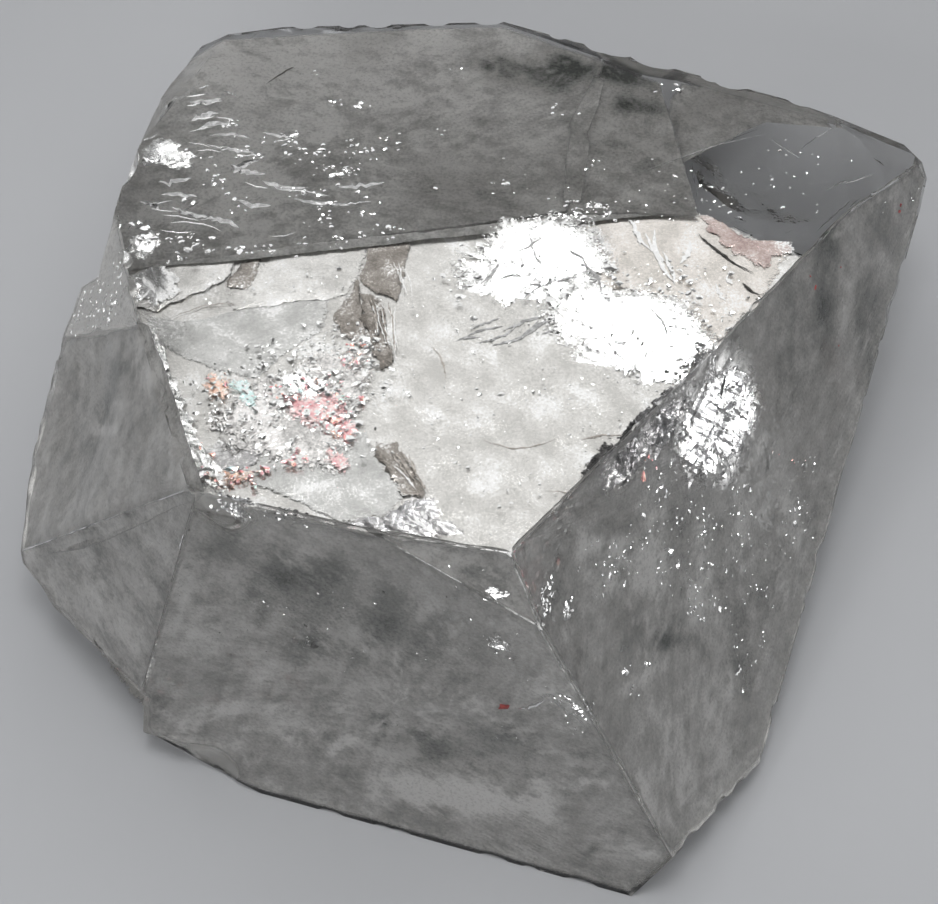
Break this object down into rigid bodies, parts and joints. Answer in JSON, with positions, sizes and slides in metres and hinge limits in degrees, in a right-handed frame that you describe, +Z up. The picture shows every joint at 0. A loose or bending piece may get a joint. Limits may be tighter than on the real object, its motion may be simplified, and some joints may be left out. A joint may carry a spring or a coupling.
{
  "type": "quartz crystal specimen",
  "caption": "Stubby clear grey quartz crystal with large flat end faces meeting at a corner, chipped and broken at the sides, lying on a flat break.",
  "frame": {"origin": "middle of the footprint's bounding box, on the surface that the crystal rests on", "axes": "+Z up, -Y towards the tip corner, where the top, right and front faces meet, and +X to the right of someone facing that corner"},
  "size_m": [0.0438, 0.0456, 0.022],
  "materials": {
    "clear_quartz": "polished natural crystal faces with rough breaks"
  },
  "bodies": {
    "root": {"quartz_crystal": "clear_quartz"}
  },
  "joints": []
}
